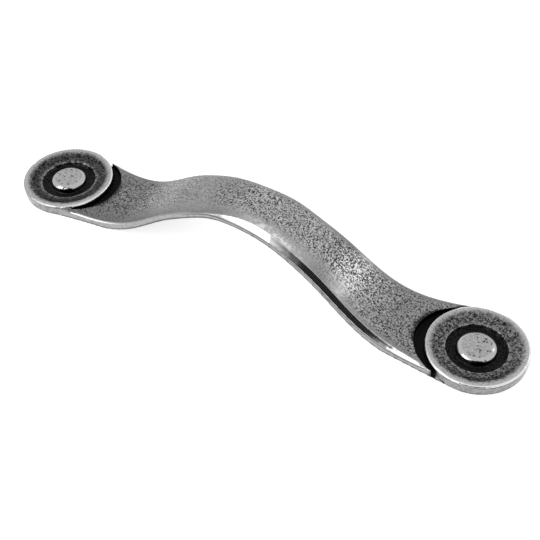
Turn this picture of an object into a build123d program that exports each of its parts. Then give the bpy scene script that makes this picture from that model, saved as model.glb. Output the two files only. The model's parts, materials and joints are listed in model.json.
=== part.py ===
from build123d import *
import os
from math import cos, pi, radians, sin

# Arch pull for a drawer front or cabinet door, one casting.
# Frame: origin on the back plane, midway between the two fixing holes, +X along the pull and +Z away
# from the drawer front. The form repeats under a half turn about Z: going outwards from the middle,
# the strap's left edge sweeps up into the roundel's rim, and its right edge carries a polished bevel.

# Driving dimensions, in millimetres and degrees
screw_pitch = 128.0
arch_height = 21.4

# Roundel at each end
roundel_diameter = 26.0
roundel_height = 3.2
wall_draft = 0.2
rim_width = 1.5
rim_rounding = 0.4
dish_depth = 1.0
dish_hollow = 0.2
button_diameter = 10.0
button_flat = 5.0
button_drop = 0.7
button_crown = 1.1
ring_gap = 2.7
ring_recess = 1.1

# Strap: its waist, and how far each edge of its ends stays inside the roundel's width
waist_width = 15.6
sweep_margin = 0.7
sweep_power = 2.55
bevel_margin = 0.4
bevel_power = 1.12
strap_overlap = 10.0
foot_level = 1.2
facing_stock = 1.2
lip_at_crown = 1.45
curl_start = 0.70
top_crown = 0.35
belly_depth = 1.7
edge_break = 0.25
stations_each_way = 8

# Side view of the arch, as shares of the half pitch outwards and of the rise upwards
arch_shape = ((0.19, 0.86), (0.38, 0.55), (0.50, 0.285), (0.63, 0.085), (0.75, 0.015))

# Bevel: the top face stands above the lip along one edge of each half
bevel_lift = 1.5
bevel_run_at_crown = 1.5
bevel_run_at_foot = 0.6
bevel_lead_length = 6.0

# Dip of the lip below the arch where the bevel opens, and its length on each side of the middle
dip_depth = 1.05
dip_length_outwards = 15.0
dip_length_inwards = 7.5

# Heel: the bevelled edge rises beside the roundel, and its bevel closes there
heel_start = 46.5
heel_rise = 2.1
heel_power = 1.4

# Crescent moat between the strap and the roundel, which runs out through the bevelled edge
moat_width = 2.7
moat_inset = 1.4
moat_turn = 9.4
moat_floor = 0.7
outlet_length = 6.6
outlet_width = 1.2
seat_overlap = 0.2

# Blind M4 fixing hole in the back, at the diameter of the thread's crests
thread_bore = 3.3
hole_skin = 0.8

# Values that follow
half_pitch = screw_pitch / 2
rim_radius = roundel_diameter / 2
strap_reach = half_pitch - rim_radius + strap_overlap
sweep_spread = roundel_diameter - 2 * sweep_margin - waist_width
bevel_spread = roundel_diameter - 2 * bevel_margin - waist_width
heel_length = strap_reach - heel_start
arch_rise = arch_height - foot_level
lip_at_foot = foot_level + facing_stock
rim_shoulder = roundel_height - rim_rounding
rim_flat = rim_radius - rim_rounding
rim_inside = rim_radius - rim_width
button = button_diameter / 2
button_edge = (button_diameter - button_flat) / 2
button_shoulder = roundel_height - button_drop
button_top = button_shoulder + button_crown
dome_radius = (button_edge**2 + button_crown**2) / (2 * button_crown)
ring = button + ring_gap
ring_level = roundel_height - dish_depth
recess_level = ring_level - ring_recess
moat_shift = moat_width + moat_inset
moat_centre = (-moat_shift * cos(radians(moat_turn)), -moat_shift * sin(radians(moat_turn)))
hole_depth = button_top - hole_skin

# Side view of the lip, from the crown down to the foot
with BuildLine(Plane.XZ) as arch_line:
    Spline(
        (0, arch_height),
        *[(out * half_pitch, foot_level + up * arch_rise) for out, up in arch_shape],
        (strap_reach, foot_level),
        tangents=((1, 0), (1, 0)),
    )


def edge(along, level):
    """Bottom, lip and crease of one edge, as (half width, height), at a distance along the pull.

    The distance is positive where this edge carries the bevel, and negative where it sweeps to the rim.
    """
    share = abs(along) / strap_reach
    heel = max(along - heel_start, 0) / heel_length
    if along > 0:
        half_width = (waist_width + bevel_spread * share**bevel_power) / 2
        rise = heel_rise * heel**heel_power
        dip_length = dip_length_outwards
    else:
        half_width = (waist_width + sweep_spread * share**sweep_power) / 2
        rise = (rim_shoulder - level) * max(share - curl_start, 0) / (1 - curl_start)
        dip_length = dip_length_inwards
    dip = dip_depth * cos(pi / 2 * min(abs(along) / dip_length, 1)) ** 2
    lip = level - dip + rise
    bottom = level - dip - lip_at_crown - (lip_at_foot - lip_at_crown) * share
    lift = max(sin(pi * (along + bevel_lead_length) / (strap_reach + bevel_lead_length)), 0)
    spread = min(max((along + bevel_lead_length) / (2 * bevel_lead_length), 0), 1)
    run = bevel_run_at_crown + (bevel_run_at_foot - bevel_run_at_crown) * share
    crease = half_width - edge_break - (run - edge_break) * spread
    crease_level = lip + edge_break + bevel_lift * lift * (1 - heel) + dip * (1 - (1 - spread) ** 2)
    return (half_width, bottom), (half_width, lip), (crease, crease_level)


def section(along, level):
    """One cross-section of the strap, at a distance along the pull."""
    (left, left_bottom), (left, left_lip), (left_crease, left_top) = edge(-along, level)
    (right, right_bottom), (right, right_lip), (right_crease, right_top) = edge(along, level)
    middle = level - lip_at_crown - (lip_at_foot - lip_at_crown) * abs(along) / strap_reach
    belly = middle - edge_break - belly_depth * (level - foot_level) / arch_rise
    crown = ((left_crease - right_crease) / 2, (left_top + right_top) / 2 + top_crown)
    with BuildSketch(Plane.YZ.offset(along)) as outline:
        with BuildLine():
            ThreePointArc((left_crease, left_top), crown, (-right_crease, right_top))
            Line((-right_crease, right_top), (-right, right_lip))
            Line((-right, right_lip), (-right, right_bottom))
            ThreePointArc((-right, right_bottom), (0, belly), (left, left_bottom))
            Line((left, left_bottom), (left, left_lip))
            Line((left, left_lip), (left_crease, left_top))
        make_face()
    return outline.sketch


stations = [arch_line.line @ (i / stations_each_way) for i in range(stations_each_way + 1)]
strap_sections = [section(-point.X, point.Z) for point in reversed(stations[1:])]
strap_sections += [section(point.X, point.Z) for point in stations]

# Each end has its own plane on the back, with its X pointing outwards
ends = [Plane((half_pitch, 0, 0), x_dir=(1, 0, 0)), Plane((-half_pitch, 0, 0), x_dir=(-1, 0, 0))]

with BuildPart() as arch_pull:
    # Strap, lofted from end to end and faced off on the back plane
    loft(strap_sections)
    split(bisect_by=Plane.XY, keep=Keep.TOP)

    # Seat for the roundel, the moat, a second circle shifted towards the strap, and its outlet
    with BuildSketch(*[end.offset(moat_floor) for end in ends]):
        Circle(rim_radius - wall_draft - seat_overlap)
        with Locations(moat_centre):
            Circle(rim_radius - moat_inset)
        with Locations((0, -rim_radius)):
            Rectangle(outlet_length, 2 * outlet_width, align=(Align.MAX, Align.CENTER))
    extrude(amount=arch_height, mode=Mode.SUBTRACT)

    # Roundels, turned whole: drafted wall, rounded rim, dish, ring recess and domed button
    for end in ends:
        with BuildSketch(Plane(end.origin, x_dir=end.x_dir, z_dir=-end.y_dir)):
            with BuildLine():
                Polyline((0, button_top), (0, 0), (rim_radius - wall_draft, 0), (rim_radius, rim_shoulder))
                RadiusArc((rim_radius, rim_shoulder), (rim_flat, roundel_height), -rim_rounding)
                Line((rim_flat, roundel_height), (rim_inside, roundel_height))
                SagittaArc((rim_inside, roundel_height), (ring, ring_level), dish_hollow)
                Polyline(
                    (ring, ring_level),
                    (ring - edge_break, recess_level),
                    (button, recess_level),
                    (button, button_shoulder),
                )
                RadiusArc((button, button_shoulder), (button_flat / 2, button_top), -dome_radius)
                Line((button_flat / 2, button_top), (0, button_top))
            make_face()
        revolve(axis=Axis(end.origin, (0, 0, 1)))

    # Fixing holes
    with BuildSketch(*ends):
        Circle(thread_bore / 2)
    extrude(amount=hole_depth, mode=Mode.SUBTRACT)

arch_pull.part.label = "arch_pull"

os.makedirs("parts", exist_ok=True)
export_step(arch_pull.part, "parts/arch_pull.step")
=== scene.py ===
# %% [markdown]
# # An aged pewter arch pull
# The object is a cast pull for a drawer. A waisted strap arches from one dished roundel to the other
# and twists on the way, so the whole form repeats under a half turn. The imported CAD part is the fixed
# frame of this lesson: it gives every size, and nothing here moves or resizes it.

# %% Load the frame
import json
from math import cos, pi, radians, sin

import bmesh
import bpy
import numpy as np
from mathutils import Matrix, Vector
from mathutils.kdtree import KDTree

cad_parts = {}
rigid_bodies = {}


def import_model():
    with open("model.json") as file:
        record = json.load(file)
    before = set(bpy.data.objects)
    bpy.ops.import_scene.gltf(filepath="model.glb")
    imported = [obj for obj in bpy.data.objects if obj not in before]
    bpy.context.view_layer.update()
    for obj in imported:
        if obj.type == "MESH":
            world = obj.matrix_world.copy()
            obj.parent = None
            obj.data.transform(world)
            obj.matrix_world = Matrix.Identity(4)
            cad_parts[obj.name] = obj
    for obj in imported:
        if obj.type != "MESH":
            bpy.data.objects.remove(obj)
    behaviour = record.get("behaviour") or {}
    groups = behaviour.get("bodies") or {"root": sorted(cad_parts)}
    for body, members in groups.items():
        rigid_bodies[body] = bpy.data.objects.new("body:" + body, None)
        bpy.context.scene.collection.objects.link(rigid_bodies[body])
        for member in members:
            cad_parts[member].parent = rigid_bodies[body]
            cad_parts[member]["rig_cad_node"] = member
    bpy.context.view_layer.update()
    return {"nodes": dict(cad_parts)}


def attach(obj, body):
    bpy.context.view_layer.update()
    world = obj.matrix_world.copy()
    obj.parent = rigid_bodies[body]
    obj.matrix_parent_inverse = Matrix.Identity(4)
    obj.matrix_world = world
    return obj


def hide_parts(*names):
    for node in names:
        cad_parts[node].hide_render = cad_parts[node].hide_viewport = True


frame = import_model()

# %% [markdown]
# ## Helpers for working as by hand
# Operators act on whatever is selected, and the loaded frame comes in selected. So each step first
# selects one object alone and makes it active, as a click in the viewport would.

# %% Select one object, and apply a modifier to it
MM = 0.001
scene = bpy.context.scene


def pick(piece):
    """Selects one object alone and makes it the active one."""
    bpy.ops.object.select_all(action="DESELECT")
    piece.select_set(True)
    bpy.context.view_layer.objects.active = piece


def apply_modifier(piece, kind, **settings):
    """Adds a modifier with these settings and applies it at once."""
    modifier = piece.modifiers.new(kind.lower(), kind)
    for name, value in settings.items():
        setattr(modifier, name, value)
    pick(piece)
    bpy.ops.object.modifier_apply(modifier=modifier.name)


# %% [markdown]
# ## The camera
# A product shot like this is taken from above one side with a short telephoto lens. The angles, the
# distance and the lens were found by matching the two round rims, which look like ellipses from here.
# With those right, every other part of the pull falls into place by itself.

# %% Place the camera
camera_azimuth = radians(32.93)
camera_elevation = radians(45.91)
camera_roll = radians(-2.33)
camera_distance = 277.8 * MM
camera_aim = Vector((4.98, -0.66, 0.04)) * MM
photo_lens = 69.16

bpy.ops.object.camera_add()
camera = bpy.context.object
camera.data.lens = photo_lens
camera.data.clip_start = 10 * MM
turn = Matrix.Rotation(camera_azimuth, 3, "Z") @ Matrix.Rotation(radians(90) - camera_elevation, 3, "X")
turn = turn @ Matrix.Rotation(camera_roll, 3, "Z")
to_camera = turn @ Vector((0, 0, 1))
camera.matrix_world = Matrix.Translation(camera_aim + camera_distance * to_camera) @ turn.to_4x4()
scene.camera = camera
print("camera direction:", [round(value, 3) for value in to_camera])


# %% [markdown]
# ## Helpers for nodes
# Materials are built from small nodes: one reckons a sum, one makes a soft step, one mixes two values.
# Each helper adds such a node to a tree and hands back its output, so a line of code reads like a
# formula. The same could be done by dragging nodes in the shader editor.

# %% Add a node, and reckon with sockets
def fill(tree, socket, value):
    """Links an input to a socket, or sets it to a plain value."""
    if isinstance(value, bpy.types.NodeSocket):
        tree.links.new(value, socket)
    else:
        socket.default_value = value


def add(tree, kind, options=None, **inputs):
    """Adds a node. Its options are set first, then its inputs."""
    node = tree.nodes.new(kind)
    for name, value in (options or {}).items():
        setattr(node, name, value)
    for name, value in inputs.items():
        fill(tree, node.inputs[name.replace("_", " ")], value)
    return node


def reckon(tree, operation, *values):
    """A math node, with a socket or a number for each of its inputs."""
    node = add(tree, "ShaderNodeMath", {"operation": operation})
    for socket, value in zip(node.inputs, values):
        fill(tree, socket, value)
    return node.outputs[0]


def times(tree, first, *factors):
    """The product of sockets and numbers."""
    for factor in factors:
        first = reckon(tree, "MULTIPLY", first, factor)
    return first


def rest(tree, share):
    """What a share leaves over."""
    return reckon(tree, "SUBTRACT", 1.0, share)


# %% Steps, bands and blends
def step(tree, value, low, high, bottom=0.0, top=1.0):
    """A soft step: bottom up to low, top from high on."""
    node = add(tree, "ShaderNodeMapRange", {"interpolation_type": "SMOOTHSTEP"}, Value=value,
               From_Min=low, From_Max=high, To_Min=bottom, To_Max=top)
    return node.outputs["Result"]


def within(tree, value, low, high, soft):
    """A soft band: one between low and high, and zero outside."""
    return times(tree, step(tree, value, low - soft, low + soft),
                 step(tree, value, high - soft, high + soft, 1.0, 0.0))


def blend(tree, share, first, second):
    """Goes from the first value to the second as the share goes from zero to one."""
    node = add(tree, "ShaderNodeMix")
    for index, value in zip((0, 2, 3), (share, first, second)):
        fill(tree, node.inputs[index], value)
    return node.outputs[0]


# %% New materials
def new_material(name, **inputs):
    """A new material with these inputs of its Principled BSDF set, its node tree, and those inputs."""
    material = bpy.data.materials.new(name)
    material.use_nodes = True
    shader = material.node_tree.nodes["Principled BSDF"]
    for label, value in inputs.items():
        shader.inputs[label.replace("_", " ")].default_value = value
    return material, material.node_tree, shader.inputs


# %% [markdown]
# ## The white tent
# Polished metal shows the room more than its own colour, so the room matters here. It is a white tent:
# camera, glossy and transmission rays see the world at a strength of one, and other rays get less light
# from it, so the shadows stay.

# %% World
def seen_share(tree):
    """One for rays that look at the room directly or in a reflection, and zero for other rays."""
    path = add(tree, "ShaderNodeLightPath").outputs
    either = reckon(tree, "MAXIMUM", path["Is Camera Ray"], path["Is Glossy Ray"])
    return reckon(tree, "MAXIMUM", either, path["Is Transmission Ray"])


white = (1, 1, 1, 1)
room_fill = 0.6
room_bright = 1.0
scene.view_settings.view_transform = "Standard"
world = bpy.data.worlds.new("white_tent")
world.use_nodes = True
scene.world = world
tent = world.node_tree
background = tent.nodes["Background"].inputs
background["Color"].default_value = white
tent.links.new(blend(tent, seen_share(tent), room_fill, room_bright), background["Strength"])
print("world:", world.name)

# %% [markdown]
# ## The floor
# The pull lies on white paper. The paper glows a little for the rays that see it, which makes it as
# white as the tent, and it still takes the shadow of the pull. It lies a hair below the pull's flat back.
# From underneath it can be seen through, so the back and its holes can be looked at.

# %% Lay the paper
floor_size = 6.0
floor_gap = 0.05 * MM
floor_glow = 0.62
paper_white = (0.86, 0.86, 0.86, 1)

bpy.ops.mesh.primitive_plane_add(size=floor_size, location=(0, 0, -floor_gap))
floor = bpy.context.object
floor.name = "floor"
floor_paper, tree, paper = new_material("floor_paper", Base_Color=paper_white, Roughness=1.0,
                                        Specular_IOR_Level=0.0, Emission_Color=white)
tree.links.new(times(tree, seen_share(tree), floor_glow), paper["Emission Strength"])
seen_from_below = add(tree, "ShaderNodeNewGeometry").outputs["Backfacing"]
tree.links.new(rest(tree, seen_from_below), paper["Alpha"])
floor.data.materials.append(floor_paper)
print("floor, metres across:", floor_size)


# %% [markdown]
# ## The lamps
# Two soft lamps make the white streaks. A large one on the left lights the start of the bevel and the
# front of the buttons. A small one behind, on the right, makes the bright spot where the strap is
# steepest. Their angles come from the streaks: light leaves metal at the angle at which it comes in.

# %% Soft lamps
studio_reach = 0.6


def toward(azimuth, elevation):
    """The direction from the pull at these angles in degrees: azimuth 0 is straight in front of it."""
    across = Matrix.Rotation(radians(azimuth), 3, "Z") @ Vector((0, -1, 0))
    return across * cos(radians(elevation)) + Vector((0, 0, sin(radians(elevation))))


def face_the_pull(item, direction):
    """Puts an object at the studio's reach in a direction, with its front turned to the pull."""
    item.rotation_mode = "QUATERNION"
    item.rotation_quaternion = direction.to_track_quat("Z", "Y")
    item.location = direction * studio_reach


def softbox(name, direction, width, height, brightness):
    """A soft area lamp that is this bright to look at, where the white tent has a brightness of one."""
    bpy.ops.object.light_add(type="AREA")
    lamp = bpy.context.object
    lamp.name = name
    lamp.data.shape = "RECTANGLE"
    lamp.data.size = width
    lamp.data.size_y = height
    lamp.data.energy = brightness * pi * width * height
    face_the_pull(lamp, direction)


softbox("left_softbox", toward(-32, 32), width=0.44, height=0.56, brightness=1.8)
softbox("right_softbox", toward(142.5, 28.5), width=0.10, height=0.10, brightness=2.0)

# %% [markdown]
# ## The black flag
# Photographers hang black cloth where a metal edge should look dark. This flag stands low in front, and
# the bevel shows it as a dark streak. It fades to white along a slanted line, and so the streak begins
# and ends softly. Only reflections see the flag: it takes no light from the pull.

# %% Hang the flag
flag_width = 0.84
flag_height = 0.60
flag_slant = 0.77
slant_level = 0.084
fade_from, fade_to = 0.05, -0.33
cloth_black, cloth_lit = 0.02, 1.7

bpy.ops.mesh.primitive_plane_add(size=1)
flag = bpy.context.object
flag.name = "black_flag"
flag.scale = (flag_width, flag_height, 1)
bpy.ops.object.transform_apply(location=False, rotation=False, scale=True)
face_the_pull(flag, toward(12, 25))

flag_cloth, tree, cloth = new_material("flag_cloth", Base_Color=(cloth_black, cloth_black, cloth_black, 1),
                                       Roughness=1.0, Specular_IOR_Level=0.0, Emission_Strength=1.0)
on_cloth = add(tree, "ShaderNodeTexCoord").outputs["Object"]
where = add(tree, "ShaderNodeSeparateXYZ", Vector=on_cloth).outputs
rise = reckon(tree, "SUBTRACT", where["Y"], slant_level)
slanted = reckon(tree, "MULTIPLY_ADD", rise, -flag_slant, where["X"])
tree.links.new(step(tree, slanted, fade_from, fade_to, cloth_black, cloth_lit), cloth["Emission Color"])
flag.data.materials.append(flag_cloth)
flag.visible_camera = False
flag.visible_diffuse = False
flag.visible_shadow = False
print("flag, metres:", [round(value, 2) for value in flag.dimensions])

# %% [markdown]
# ## The casting
# The real pull is one casting, so it stays one closed mesh. It starts as a copy of the CAD mesh. That
# mesh keeps the corners of neighbouring faces apart, so they are merged first.

# %% Copy and merge
pick(frame["nodes"]["arch_pull"])
bpy.ops.object.duplicate()
casting = bpy.context.object
casting.name = "cast_pull"
del casting["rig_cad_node"]
bpy.ops.object.parent_clear(type="CLEAR_KEEP_TRANSFORM")
bpy.ops.mesh.customdata_custom_splitnormals_clear()
bpy.ops.object.mode_set(mode="EDIT")
bpy.ops.mesh.select_all(action="SELECT")
bpy.ops.mesh.remove_doubles(threshold=0.001 * MM)
bpy.ops.object.mode_set(mode="OBJECT")
print("merged corners:", len(casting.data.vertices))

# %% [markdown]
# ## Room for the threads
# A tap cuts a spiral groove into the wall of each fixing hole, and the CAD bore lies at the crests
# between its turns. So the wall of each bore is scaled out to the bottom of the groove here, around the
# middle of the hole. The ridge between the turns comes at the end, as a piece of its own.

# %% Widen the two fixing holes
hole_spacing = 128 * MM
hole_depth = 2.8 * MM
thread_crest = 1.65 * MM
thread_root = 2.05 * MM
slack = 1.02
widen = thread_root / thread_crest

for hole in (hole_spacing / 2, -hole_spacing / 2):
    bpy.ops.object.mode_set(mode="EDIT")
    bpy.ops.mesh.select_all(action="DESELECT")
    bpy.ops.object.mode_set(mode="OBJECT")
    for corner in casting.data.vertices:
        out = (corner.co - Vector((hole, 0, 0))).to_2d().length
        on_the_bore = 0.5 * thread_crest < out < slack * thread_crest
        corner.select = on_the_bore and corner.co.z < slack * hole_depth
    bpy.ops.object.mode_set(mode="EDIT")
    bpy.ops.transform.resize(value=(widen, widen, 1), center_override=(hole, 0, 0))
    bpy.ops.object.mode_set(mode="OBJECT")
    print("widened corners:", sum(corner.select for corner in casting.data.vertices))

# %% [markdown]
# ## Where the edges run
# Wear follows edges: they get rubbed bright, and dirt stays in the inner corners. The next steps blur
# the edges, so their places are noted now, as points in search trees. A tree quickly answers how far
# any place on the pull is from the nearest edge of a kind.

# %% Kinds of edges
sharp_angle = radians(24)
looks_up = 0.3
roundel_reach = 13.2 * MM
moat_centre = Vector((59.95, -0.67)) * MM
moat_reach = 11.8 * MM


def folded(place):
    """The plan view of a place. The half turn folds the left end onto the right one."""
    return place.to_2d() * (1 if place.x > 0 else -1)


def on_the_strap(place):
    """True outside the roundels and the moats."""
    from_roundel = (folded(place) - Vector((hole_spacing / 2, 0))).length
    return from_roundel > roundel_reach and (folded(place) - moat_centre).length > moat_reach


def is_ridge(edge):
    """A sharp edge that stands out."""
    return edge.calc_face_angle_signed(0) > sharp_angle


def is_corner(edge):
    """A sharp inner corner."""
    return edge.calc_face_angle_signed(0) < -sharp_angle


def is_strap_edge(edge):
    return is_ridge(edge) and on_the_strap(edge.verts[0].co)


def is_lower_edge(edge):
    """An edge at the bottom of the strap's side: neither of its faces looks up."""
    return is_strap_edge(edge) and all(face.normal.z < looks_up for face in edge.link_faces)


# %% Search trees
sample_step = 0.15 * MM


def points_along_edges(mesh, wanted):
    """A search tree of points along the edges that are wanted."""
    shape = bmesh.new()
    shape.from_mesh(mesh)
    points = []
    for edge in shape.edges:
        first, second = (corner.co for corner in edge.verts)
        if wanted(edge):
            parts = max(int(edge.calc_length() / sample_step), 1)
            points += [first.lerp(second, part / parts) for part in range(parts + 1)]
    shape.free()
    tree = KDTree(len(points))
    for index, point in enumerate(points):
        tree.insert(point, index)
    tree.balance()
    print("points along edges:", len(points))
    return tree


ridges = points_along_edges(casting.data, is_ridge)
corners = points_along_edges(casting.data, is_corner)
strap_edges = points_along_edges(casting.data, is_strap_edge)
lower_edges = points_along_edges(casting.data, is_lower_edge)

# %% [markdown]
# ## Small even faces
# Castings like this are tumbled, which softens every edge a little. A voxel remesh gives small even
# faces, and a light smoothing then rounds the edges. The small faces also leave room for the pits later.

# %% Remesh
voxel = 0.2 * MM
apply_modifier(casting, "REMESH", mode="VOXEL", voxel_size=voxel)
apply_modifier(casting, "SMOOTH", factor=0.5, iterations=3)
print("remeshed faces:", len(casting.data.polygons))


# %% [markdown]
# ## Calm broad faces
# Voxels leave faint terraces on broad faces, and polished metal shows every one of them. So the broad
# faces are smoothed strongly, and the edges are left alone: each corner of the mesh gets a weight from
# its distance to the nearest edge.

# %% Smooth the broad faces
def ramp(value, low, high):
    """Zero up to low, one from high on, and an even rise between."""
    return min(max((value - low) / (high - low), 0), 1)


def weigh(piece, name, weight_of, levels=12):
    """A vertex group with each corner's weight from a function of the corner, in a few levels."""
    group = piece.vertex_groups.new(name=name)
    shelves = [[] for level in range(levels + 1)]
    for corner in piece.data.vertices:
        shelves[round(levels * weight_of(corner))].append(corner.index)
    for level, indices in enumerate(shelves[1:], start=1):
        group.add(indices, level / levels, "REPLACE")
    print(name, "corners:", len(piece.data.vertices) - len(shelves[0]))
    return name


edge_margin = 0.5 * MM, 1.6 * MM


def away_from_edges(corner):
    """One on broad faces, and zero along sharp edges and inner corners."""
    nearest = min(ridges.find(corner.co)[2], corners.find(corner.co)[2])
    return ramp(nearest, *edge_margin)


broad = weigh(casting, "broad_faces", away_from_edges)
apply_modifier(casting, "SMOOTH", factor=0.5, iterations=80, vertex_group=broad)

# %% [markdown]
# ## The tips of the heels
# Beside each roundel the bevelled edge ends in a heel, and its tip stands against the moat. Tumbling
# rounds such a tip more than a long edge, because it is hit from more sides. Smoothing does the same here.

# %% Round the tips
heel_tip = Vector((57.3, -12.4)) * MM
tip_reach = 2.2 * MM
tip_core = 0.4 * tip_reach
tip_level = 1.6 * MM


def near_heel_tip(corner):
    """One at the tip of each heel, above its foot."""
    away = (folded(corner.co) - heel_tip).length
    return ramp(-away, -tip_reach, -tip_core) * (corner.co.z > tip_level)


tips = weigh(casting, "heel_tips", near_heel_tip)
apply_modifier(casting, "SMOOTH", factor=0.5, iterations=40, vertex_group=tips)

# %% [markdown]
# ## The bevel
# Along one edge of each half the metal is ground to a polished bevel. A grinding wheel is round, so it
# leaves the bevel slightly hollow, and that is why its reflections end at a slant. Its corners are found
# by their normals and pushed in a little, most along the middle of the bevel.

# %% Hollow the bevels
bevel_lead = 5 * MM
bevel_lean = 0.3, 0.45
bevel_lift = 0.12, 0.3
bevel_edges = 0.15 * MM, 0.75 * MM
hollow_start = 3 * MM, 9 * MM
bevel_hollow = 0.06 * MM


def bevelled_share(corner):
    """One on the polished bevels. The half turn folds the far edge onto the near one."""
    turn = -1 if corner.co.y > 0 else 1
    leaning = ramp(-corner.normal.y * turn, *bevel_lean) * ramp(corner.normal.z, *bevel_lift)
    return leaning * ramp(corner.co.x * turn, -bevel_lead, -0.5 * bevel_lead) * on_the_strap(corner.co)


def ground_share(corner):
    """One along the middle of each bevel, and zero at its edges."""
    return bevelled_share(corner) * ramp(strap_edges.find(corner.co)[2], *bevel_edges)


def hollow_share(corner):
    """The wheel bites deeper away from the crown of the arch."""
    return ground_share(corner) * ramp(abs(corner.co.x), *hollow_start)


ground = weigh(casting, "ground_bevel", ground_share)
apply_modifier(casting, "SMOOTH", factor=0.5, iterations=25, vertex_group=ground)
hollow = weigh(casting, "hollow_bevel", hollow_share)
apply_modifier(casting, "DISPLACE", strength=-bevel_hollow, mid_level=0.0, vertex_group=hollow)


# %% [markdown]
# ## Cast pits
# Sand leaves small dents in a casting. A cloud texture gives their places, and the Displace modifier
# presses them into the mesh, so they are part of the shape itself. Hands have rubbed the front
# of the arch smooth, so there are few pits there, and the shoulders of the buttons have none.

# %% Where the sand has marked the metal
def pitted_share(corner):
    """How strongly the sand has marked this place: least along the edges and where hands have rubbed."""
    x, y, z = corner.co
    facing_up = ramp(corner.normal.z, 0.3, 0.6)
    inside = ramp(strap_edges.find(corner.co)[2], 0.4 * MM, 2.2 * MM)
    rubbed = ramp(-y, 1.5 * MM, 5.5 * MM) * ramp(-abs(x), -40 * MM, -28 * MM)
    calm = ramp(-x, 4 * MM, 14 * MM) * ramp(x, -38 * MM, -30 * MM)
    from_button = (Vector((abs(x), y)) - Vector((hole_spacing / 2, 0))).length
    shoulder = ramp(from_button, 2.6 * MM, 3.4 * MM) * (from_button < 5.2 * MM)
    return facing_up * inside * (1 - 0.9 * rubbed) * (1 - 0.6 * calm) * (1 - shoulder)


pitted = weigh(casting, "pitted", pitted_share)

# %% Press in the pits
wave_size, wave_height = 5 * MM, 0.06 * MM
dent_size, dent_depth = 0.42 * MM, 0.04 * MM


def cloud_texture(name, size, low, high):
    """A cloud texture whose ramp runs from white at low to black at high."""
    texture = bpy.data.textures.new(name, "CLOUDS")
    texture.noise_scale = size
    texture.noise_depth = 1
    texture.use_color_ramp = True
    first, last = texture.color_ramp.elements
    first.position, first.color = low, (1, 1, 1, 1)
    last.position, last.color = high, (0, 0, 0, 1)
    return texture


def places(piece):
    """Where each corner of a mesh is, as an array."""
    found = np.zeros(3 * len(piece.data.vertices))
    piece.data.vertices.foreach_get("co", found)
    return found.reshape(-1, 3)


waves = cloud_texture("casting_waves", wave_size, low=0.0, high=1.0)
dents = cloud_texture("sand_dents", dent_size, low=0.30, high=0.41)
apply_modifier(casting, "DISPLACE", texture=waves, texture_coords="LOCAL", strength=wave_height,
               mid_level=0.5, vertex_group=broad)
before = places(casting)
apply_modifier(casting, "DISPLACE", texture=dents, texture_coords="LOCAL", strength=-dent_depth,
               mid_level=0.0, vertex_group=pitted)
dent_share = np.linalg.norm(places(casting) - before, axis=1) / dent_depth
print("dented corners:", int((dent_share > 0.5).sum()), "of", len(dent_share))


# %% [markdown]
# ## Notes for the finish
# The finish needs to know how deep each dent is and how far each edge lies. Such numbers can ride on the
# mesh, one for each corner, as attributes that a material reads. The mesh is thinned in between: the
# Decimate modifier takes corners from flat places first and carries the dents' numbers along.

# %% Thin the mesh, and keep the notes
def note(piece, name, values):
    """Keeps one number for each corner of a mesh, for a material to read."""
    piece.data.attributes.new(name, "FLOAT", "POINT").data.foreach_set("value", values)


def count_triangles(piece):
    return sum(len(face.vertices) - 2 for face in piece.data.polygons)


triangle_limit = 190000
note(casting, "dent", dent_share)
casting.vertex_groups.clear()
apply_modifier(casting, "DECIMATE", ratio=triangle_limit / count_triangles(casting))
bpy.ops.object.shade_smooth()
skin = casting.data.vertices
for corner in skin:
    corner.co.z = max(corner.co.z, 0)
note(casting, "ridge_mm", [strap_edges.find(corner.co)[2] / MM for corner in skin])
note(casting, "lower_mm", [lower_edges.find(corner.co)[2] / MM for corner in skin])
note(casting, "corner_mm", [corners.find(corner.co)[2] / MM for corner in skin])
note(casting, "bevel", [bevelled_share(corner) for corner in skin])
note(casting, "facing_up", [corner.normal.z for corner in skin])
print("triangles:", count_triangles(casting))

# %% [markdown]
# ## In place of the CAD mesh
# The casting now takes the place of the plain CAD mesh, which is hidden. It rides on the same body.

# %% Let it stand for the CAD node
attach(casting, "root")
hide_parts("arch_pull")
print("stands for:", "arch_pull")


# %% [markdown]
# ## The finish
# Aged pewter is grey metal with a black patina. Polishing takes the patina off whatever stands proud
# and leaves it in the hollows. So the material works out masks from the place on the pull and from the
# notes above, and each mask moves the tone of the metal towards black, grey or bright.

# %% Node groups
def new_group(name, inputs, outputs):
    """An empty node group with number sockets, and the sockets to build between."""
    tree = bpy.data.node_groups.new(name, "ShaderNodeTree")
    for label, value in inputs.items():
        tree.interface.new_socket(label, in_out="INPUT", socket_type="NodeSocketFloat").default_value = value
    for label in outputs:
        tree.interface.new_socket(label, in_out="OUTPUT", socket_type="NodeSocketFloat")
    return tree, tree.nodes.new("NodeGroupInput").outputs, tree.nodes.new("NodeGroupOutput").inputs


def place(tree, group, **inputs):
    """A copy of a node group in a tree, with its inputs set or linked."""
    return add(tree, "ShaderNodeGroup", {"node_tree": group}, **inputs).outputs


# %% [markdown]
# ## Group: place on the pull
# Most marks repeat under the half turn, so this group folds the left end onto the right one. It gives
# places in millimetres, the distances from the roundel's and the moat's middle in the plan view, and
# the lead: how far a place is along the edge that carries the bevel, or, below zero, along the other.

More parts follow.
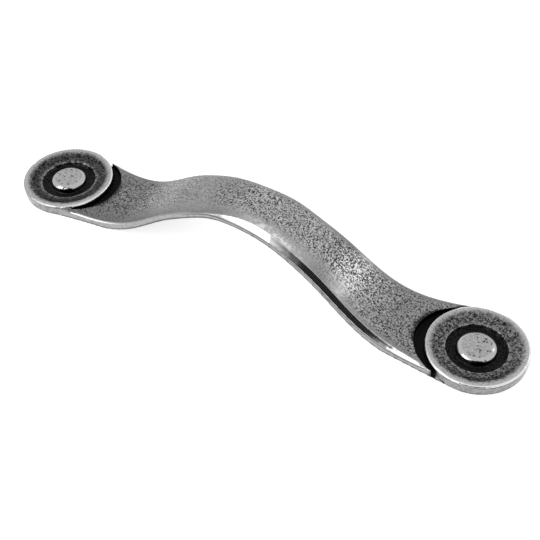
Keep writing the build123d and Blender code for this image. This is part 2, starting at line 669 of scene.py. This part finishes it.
# %% Half turn
half_turn, _, out = new_group("half_turn_place", {}, [
    "Along", "Across", "Lengthways", "Sideways", "Lead", "Height", "Radius", "Moat", "Front"])
front_x, front_y = 0.54, -0.84
coordinates = add(half_turn, "ShaderNodeTexCoord").outputs["Object"]
split = add(half_turn, "ShaderNodeSeparateXYZ", Vector=coordinates).outputs
x, y, z = (times(half_turn, split[axis], 1 / MM) for axis in "XYZ")
side = reckon(half_turn, "SIGN", x)
along = times(half_turn, x, side)
across = times(half_turn, y, side)


def offset_from(centre):
    """How far a folded place lies along and across from a point in metres, in millimetres."""
    return (reckon(half_turn, "SUBTRACT", along, centre[0] / MM),
            reckon(half_turn, "SUBTRACT", across, centre[1] / MM))


def distance_from(centre):
    """Distance in the plan view, in millimetres, from a point on the folded pull."""
    squares = [reckon(half_turn, "POWER", offset, 2) for offset in offset_from(centre)]
    return reckon(half_turn, "SQRT", reckon(half_turn, "ADD", *squares))


roundel_centre = (hole_spacing / 2, 0)
ahead, aside = offset_from(roundel_centre)
to_front = reckon(half_turn, "MULTIPLY_ADD", ahead, front_x, times(half_turn, aside, front_y))
for label, socket in {
    "Along": along,
    "Across": across,
    "Lengthways": x,
    "Sideways": y,
    "Lead": times(half_turn, x, -1, reckon(half_turn, "SIGN", y)),
    "Height": z,
    "Radius": distance_from(roundel_centre),
    "Moat": distance_from(moat_centre),
    "Front": times(half_turn, to_front, side),
}.items():
    half_turn.links.new(socket, out[label])
print("places:", [socket.name for socket in out if socket.name])

# %% [markdown]
# ## Group: sand grain
# Everything on the pull that is speckled or cloudy comes from one noise at different sizes: fine grain,
# specks, mottling and slow drifts of tone. Its size is given in millimetres.

# %% Grain
sand, given, out = new_group("sand_grain", {"Size": 0.4, "Low": 0.4, "High": 0.6}, ["Grain"])
coordinates = add(sand, "ShaderNodeTexCoord").outputs["Object"]
scale = reckon(sand, "DIVIDE", 1 / MM, given["Size"])
noise = add(sand, "ShaderNodeTexNoise", Vector=coordinates, Scale=scale, Detail=1.5, Roughness=0.6)
sand.links.new(step(sand, noise.outputs["Fac"], given["Low"], given["High"]), out["Grain"])
print("groups:", [half_turn.name, sand.name])


# %% [markdown]
# ## Masks
# These are the questions that the finish asks again and again: how rough is the sand here, is this the
# roundel, the wall or the bevel, and how near is the foot? The radius also wanders a little, because
# patina never stops at a perfect circle.

# %% Material: masks
def attribute(tree, name):
    """A number that the mesh keeps for each corner."""
    return add(tree, "ShaderNodeAttribute", {"attribute_name": name}).outputs["Fac"]


def speckle(tree, size, low, high):
    """Sand grain of this size, in millimetres."""
    return place(tree, sand, Size=size, Low=low, High=high)["Grain"]


pewter, tree, metal = new_material("aged_pewter_finish", Metallic=1.0)
spot = place(tree, half_turn)
ridge = attribute(tree, "ridge_mm")
bevel = attribute(tree, "bevel")
facing = attribute(tree, "facing_up")
grain = speckle(tree, 0.46, 0.34, 0.64)
specks = speckle(tree, 0.46, 0.34, 0.41)
mottle = speckle(tree, 1.1, 0.38, 0.62)
drift = speckle(tree, 6.0, 0.35, 0.65)

wander_reach = 0.35
wander = reckon(tree, "SUBTRACT", reckon(tree, "ADD", grain, mottle), 1.0)
wander = times(tree, wander, wander_reach)
radius = reckon(tree, "ADD", spot["Radius"], wander)

in_roundel = within(tree, spot["Radius"], -1.0, 13.05, 0.05)
near_foot = step(tree, spot["Along"], 28.0, 42.0)
bevel_side = step(tree, spot["Lead"], -6.0, -1.0)
left_half = step(tree, spot["Lengthways"], 2.0, -8.0)
right_half = step(tree, spot["Lengthways"], -1.0, 1.0)
top_face = step(tree, facing, 0.72, 0.85)
wall = step(tree, facing, 0.15, 0.4, 1.0, 0.0)
back = step(tree, facing, -0.3, -0.6)
print("nodes for the masks:", len(tree.nodes))


# %% [markdown]
# ## The strap's cast skin
# The skin is how much of the sandy surface is left, from none to all. Edges have lost it, hands have
# rubbed it off along the front, and it is fainter on the left half and on the polished spot, which also
# carries a painted highlight.

# %% Material: cast skin
def stretch(low, high, soft):
    """A soft band along the pull, in millimetres from its middle."""
    return within(tree, spot["Lengthways"], low, high, soft)


calm = stretch(-34.0, -9.0, 5.0)
polished_highlight_spot = stretch(28.3, 30.8, 1.7)
rubbed = times(tree, step(tree, spot["Sideways"], -1.5, -5.5),
               blend(tree, near_foot, 0.9, times(tree, left_half, 0.7)))
cast_skin = times(tree, step(tree, ridge, 0.3, 1.8), blend(tree, drift, 0.5, 1.0), rest(tree, rubbed),
                  blend(tree, calm, 1.0, 0.55), blend(tree, polished_highlight_spot, 1.0, 0.6))
print("nodes so far:", len(tree.nodes))

# %% [markdown]
# ## The strap's tone
# Clean metal is mid grey, darker towards the feet, with stretches of painted shade between and a painted
# highlight on the polished spot. The sand grain then makes it speckled where the skin is left, and the
# pits are nearly black.

# %% Material: tone of the strap's top
crown_grey, foot_grey = 0.33, 0.235
pit_black, pit_cover = 0.02, 0.85

# Painted shade over the steep stretch, and a painted highlight on the polished spot within it.
shade_and_highlight_tone = blend(tree, polished_highlight_spot, 0.82, 1.10)
dull_edge = times(tree, step(tree, ridge, 0.4, 2.6, 0.14, 0.0), rest(tree, bevel_side))
speckled = blend(tree, cast_skin, blend(tree, grain, 0.85, 1.12), blend(tree, grain, 0.35, 1.7))
clean = times(tree, blend(tree, near_foot, crown_grey, foot_grey),
              blend(tree, left_half, 1.0, 0.79),
              blend(tree, stretch(-34.0, -20.0, 4.0), 1.0, 0.82),
              blend(tree, stretch(22.0, 36.0, 3.0), 1.0, shade_and_highlight_tone),
              blend(tree, stretch(21.0, 26.0, 1.5), 1.0, 0.82),
              rest(tree, dull_edge), speckled)
pits = reckon(tree, "MAXIMUM", step(tree, attribute(tree, "dent"), 0.1, 0.6),
              times(tree, rest(tree, specks), cast_skin))
strap_tone = blend(tree, times(tree, pits, pit_cover), clean, pit_black)
print("nodes so far:", len(tree.nodes))

# %% [markdown]
# ## Worn edges, walls and bevels
# The crease above the bevel is worn bright at the front of the arch, and so is the lip where it sweeps
# up to a roundel. The walls are grey, with painted shade lines under the lip and along their lower edge,
# and painted shade at the foot.
# The bevel is the brightest metal of all.

# %% Material: edges, walls and bevels
crease_bright, edge_bright, lip_bright = 0.75, 0.45, 0.62
wall_grey, shade_line_black, foot_shade_black = 0.36, 0.09, 0.12
bevel_bright, heel_bright = 0.52, 0.40

crease_wear = times(tree, stretch(3.0, 17.0, 5.0), step(tree, spot["Sideways"], -2.0, -4.0),
                    step(tree, ridge, 0.4, 3.0, 1.0, 0.0), blend(tree, mottle, 0.25, 1.0))
strap_tone = blend(tree, crease_wear, strap_tone, crease_bright)
strap_tone = blend(tree, step(tree, ridge, 0.08, 0.35, 0.40, 0.0), strap_tone, edge_bright)
lip_wear = times(tree, step(tree, ridge, 0.08, 0.4, 0.9, 0.0),
                 step(tree, spot["Lead"], -30.0, -54.0, 0.2, 1.0), step(tree, spot["Lead"], -20.0, -30.0))
strap_tone = blend(tree, lip_wear, strap_tone, lip_bright)

wall_tone = times(tree, blend(tree, mottle, 0.88, 1.08), wall_grey)
# Painted shade: dark lines under the lip and along the wall's lower edge, and darker at the foot.
lip_shadow_line = times(tree, step(tree, ridge, 0.2, 0.6, 0.9, 0.0), step(tree, spot["Lead"], -20.0, -12.0))
lower_shade_line = step(tree, attribute(tree, "lower_mm"), 0.25, 0.75, 0.85, 0.0)
wall_tone = blend(tree, reckon(tree, "MAXIMUM", lip_shadow_line, lower_shade_line), wall_tone, shade_line_black)
foot_shade = step(tree, spot["Height"], 0.15, 0.75, 0.7, 0.0)
wall_tone = blend(tree, foot_shade, wall_tone, foot_shade_black)
strap_tone = blend(tree, wall, strap_tone, wall_tone)
bevel_tone = step(tree, spot["Lead"], 43.0, 49.0, bevel_bright, heel_bright)
strap_tone = blend(tree, bevel, strap_tone, bevel_tone)
print("nodes so far:", len(tree.nodes))

# %% [markdown]
# ## Soot in the moats
# No polishing wheel reaches into the crescent moats, so the patina stays black there. It also smears a
# little onto the strap beside them, and it fills the narrow outlet at the end of each moat.

# %% Material: moats
soot_black, outlet_grey = 0.010, 0.22

in_moat = step(tree, spot["Moat"], 11.6, 11.75, 1.0, 0.0)
smear_width = blend(tree, within(tree, spot["Across"], -6.0, 6.0, 2.0), 0.25, 2.2)
smear = reckon(tree, "SUBTRACT", reckon(tree, "ADD", spot["Moat"], wander), 11.4)
smear = step(tree, reckon(tree, "DIVIDE", smear, smear_width), 0.0, 1.0, 1.0, 0.0)
outlet = times(tree, within(tree, spot["Along"], 57.5, 58.8, 0.1), step(tree, spot["Across"], -11.3, -11.6))
rim_soot = times(tree, step(tree, spot["Radius"], 13.4, 14.2, 1.0, 0.0),
                 step(tree, spot["Sideways"], 7.0, 8.5), step(tree, spot["Lengthways"], 48.0, 50.0))
moat_soot = reckon(tree, "MAXIMUM", blend(tree, top_face, in_moat, smear),
                   reckon(tree, "MAXIMUM", outlet, rim_soot))
strap_tone = blend(tree, moat_soot, strap_tone, soot_black)

moat_floor = times(tree, step(tree, spot["Height"], 0.95, 1.1, 1.0, 0.0), rest(tree, wall),
                   step(tree, spot["Along"], 46.0, 47.0))
outlet_end = times(tree, step(tree, spot["Along"], 58.5, 58.9), step(tree, spot["Across"], -11.5, -11.8))
floor_tone = blend(tree, outlet_end, soot_black, outlet_grey)
strap_tone = blend(tree, moat_floor, strap_tone, floor_tone)
print("nodes so far:", len(tree.nodes))

# %% [markdown]
# ## The roundels' dish and rim
# The rim stands proud, so it is bright, and its outer edge is polished. That edge also carries a painted
# highlight, except at the far left end. The dish inside keeps a dark, grainy patina, which fades into the
# rim. A worn line runs along the inner edge of the dish, and the ring around the button is black.

# %% Material: dish and rim
rim_grey, highlight_shine, rim_dull = 0.44, 0.76, 0.38
ring_grey, ring_bright = 0.20, 0.30

sand_marks = speckle(tree, 0.5, 0.34, 0.66)
dish_tone = blend(tree, within(tree, radius, 8.9, 10.6, 0.8),
                  blend(tree, right_half, 0.085, 0.072), blend(tree, right_half, 0.066, 0.082))
rim_shade = times(tree, step(tree, spot["Front"], 4.0, 9.5), within(tree, radius, 9.6, 11.2, 0.5))
dish_tone = times(tree, dish_tone, blend(tree, right_half, 0.60, 1.12), blend(tree, sand_marks, 0.1, 2.3),
                  blend(tree, mottle, 0.75, 1.25), blend(tree, rim_shade, 1.0, 0.40))
rim_tone = times(tree, blend(tree, grain, 0.8, 1.1), rim_grey)
# The rim's outer edge: polished, and brightened further as a painted highlight, except at the far left end.
rim_polish_and_highlight = step(tree, spot["Lengthways"], -60.0, -54.0, rim_dull, highlight_shine)
rim_tone = blend(tree, within(tree, spot["Radius"], 12.5, 13.1, 0.15), rim_tone, rim_polish_and_highlight)
rim_edge = reckon(tree, "MULTIPLY_ADD", wander, 0.6, spot["Radius"])
roundel_tone = blend(tree, step(tree, rim_edge, 10.5, 12.3), dish_tone, rim_tone)

ring_wear = times(tree, within(tree, radius, 7.5, 8.5, 0.3), blend(tree, mottle, 0.0, 0.9))
roundel_tone = blend(tree, ring_wear, roundel_tone, ring_grey)
ring_line = within(tree, reckon(tree, "MULTIPLY_ADD", wander, 0.3, spot["Radius"]), 7.72, 8.0, 0.08)
ring_line = times(tree, ring_line, blend(tree, mottle, 0.15, 0.85))
roundel_tone = blend(tree, ring_line, roundel_tone, ring_bright)
ring_soot = times(tree, step(tree, radius, 4.58, 4.82), step(tree, radius, 7.25, 8.1, 1.0, 0.0))
roundel_tone = blend(tree, ring_soot, roundel_tone, blend(tree, grain, 0.006, 0.022))
print("nodes so far:", len(tree.nodes))

# %% [markdown]
# ## The buttons and the roundels' walls
# Each button is rubbed bright, with a few dark specks left on top and a polished shoulder. A painted dark
# reflection lies along its front edge. The wall around the roundel is grey, with a painted shadow line under
# the rim and painted shade at its foot.

# %% Material: buttons and walls
button_grey, speck_black, shoulder_bright, reflection_black = 0.40, 0.07, 0.46, 0.015
side_grey, side_black = 0.29, 0.07

button_tone = times(tree, blend(tree, grain, 0.75, 1.08), button_grey)
button_tone = blend(tree, speckle(tree, 0.8, 0.40, 0.34), button_tone, speck_black)
shoulder = within(tree, spot["Radius"], 3.9, 5.2, 0.25)
button_tone = blend(tree, shoulder, button_tone, shoulder_bright)
# Painted dark reflection: the front edge of each button is darkened nearly to black.
painted_dark_reflection = step(tree, reckon(tree, "ADD", spot["Front"], wander), 4.5, 4.8)
button_tone = blend(tree, painted_dark_reflection, button_tone, reflection_black)
roundel_tone = blend(tree, step(tree, spot["Radius"], 4.96, 5.04, 1.0, 0.0), roundel_tone, button_tone)

outside = times(tree, wall, step(tree, spot["Radius"], 12.5, 12.6))
shadow_line = times(tree, within(tree, spot["Height"], 2.55, 2.8, 0.08), blend(tree, drift, 0.2, 0.9))
side_tone = times(tree, blend(tree, mottle, 0.85, 1.15), side_grey)
side_tone = blend(tree, reckon(tree, "MAXIMUM", shadow_line, foot_shade), side_tone, side_black)
walled_in = times(tree, in_moat, step(tree, spot["Across"], -12.0, -11.6))
roundel_tone = blend(tree, outside, roundel_tone, blend(tree, walled_in, side_tone, soot_black))
roundel_tone = blend(tree, moat_floor, roundel_tone, floor_tone)
print("nodes so far:", len(tree.nodes))

# %% [markdown]
# ## The finish put together
# The strap and the roundels meet in one tone, with dark seams in the inner corners and a plain grey
# back. Dark patina is rough and bright metal is smooth, so the roughness follows from the tone. The
# bevels and the buttons' shoulders are polished, and a faint bump adds the finest grain.

# %% Material: colour, roughness and bump
seam_black, back_grey = 0.012, 0.24
patina_rough, metal_rough, back_rough = 0.60, 0.21, 0.35
bevel_rough, shoulder_rough = 0.07, 0.12

tone = blend(tree, in_roundel, strap_tone, roundel_tone)
seams = times(tree, step(tree, attribute(tree, "corner_mm"), 0.08, 0.4, 0.9, 0.0),
              step(tree, spot["Height"], 2.2, 2.5, 1.0, 0.0))
tone = blend(tree, seams, tone, seam_black)
tone = blend(tree, back, tone, times(tree, blend(tree, mottle, 0.85, 1.15), back_grey))
grey = add(tree, "ShaderNodeCombineColor", Red=tone, Green=tone, Blue=tone)
tree.links.new(grey.outputs[0], metal["Base Color"])

rough = step(tree, tone, 0.03, 0.34, patina_rough, metal_rough)
rough = blend(tree, bevel, rough, bevel_rough)
rough = blend(tree, shoulder, rough, shoulder_rough)
rough = blend(tree, back, rough, back_rough)
tree.links.new(rough, metal["Roughness"])
bump = add(tree, "ShaderNodeBump", Height=times(tree, grain, rest(tree, bevel)), Strength=0.3,
           Distance=0.02 * MM)
tree.links.new(bump.outputs["Normal"], metal["Normal"])
casting.data.materials.clear()
casting.data.materials.append(pewter)
print("nodes in the pewter:", len(tree.nodes))

# %% [markdown]
# ## The threads
# Each foot is tapped from behind for a screw, and the tap leaves a V-shaped ridge that climbs around
# the hole. Its outline is a small four-sided loop. The Screw modifier carries it up and around, and
# two faces close its ends. Freshly cut metal has no patina, so it gets a plain grey finish.

# %% Finish of the cut metal
cut_dark, cut_light = 0.22, 0.34
cut_metal, tree, cut = new_material("cut_thread_finish", Metallic=1.0, Roughness=0.35)
level = blend(tree, speckle(tree, 0.3, 0.3, 0.7), cut_dark, cut_light)
grey = add(tree, "ShaderNodeCombineColor", Red=level, Green=level, Blue=level)
tree.links.new(grey.outputs[0], cut["Base Color"])
print("nodes in the cut metal:", len(tree.nodes))

# %% Turn the threads
thread_pitch = 0.7 * MM
thread_turns = 2.75
thread_steps = 120
thread_crease = radians(30)
thread_root_cover = 0.15 * MM
crest_flat = 0.09 * MM
first_level = 0.40 * MM
bottom = thread_root + thread_root_cover
half_base = (thread_pitch - crest_flat) / 2
ridge_outline = [(bottom, -half_base), (thread_crest, -crest_flat / 2),
                 (thread_crest, crest_flat / 2), (bottom, half_base)]

for name, hole in (("thread_right", hole_spacing / 2), ("thread_left", -hole_spacing / 2)):
    bpy.ops.mesh.primitive_plane_add(size=1)
    thread = bpy.context.object
    thread.name = name
    around = (thread.data.vertices[index] for index in (0, 1, 3, 2))
    for corner, (out, up) in zip(around, ridge_outline):
        corner.co = (out, 0, up)
    bpy.ops.object.mode_set(mode="EDIT")
    bpy.ops.mesh.select_all(action="SELECT")
    bpy.ops.mesh.delete(type="ONLY_FACE")
    bpy.ops.object.mode_set(mode="OBJECT")
    apply_modifier(thread, "SCREW", angle=2 * pi * thread_turns, screw_offset=thread_pitch * thread_turns,
                   steps=thread_steps, render_steps=thread_steps)
    bpy.ops.object.mode_set(mode="EDIT")
    bpy.ops.mesh.select_all(action="SELECT")
    bpy.ops.mesh.fill_holes(sides=4)
    bpy.ops.mesh.select_all(action="SELECT")
    bpy.ops.mesh.normals_make_consistent(inside=False)
    bpy.ops.object.mode_set(mode="OBJECT")
    thread.location = (hole, 0, first_level)
    bpy.ops.object.transform_apply(location=True, rotation=False, scale=False)
    bpy.ops.object.shade_smooth_by_angle(angle=thread_crease)
    thread.data.materials.append(cut_metal)
    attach(thread, "root")
    heights = [corner.co.z / MM for corner in thread.data.vertices]
    print(name, "from", round(min(heights), 2), "to", round(max(heights), 2), "mm")
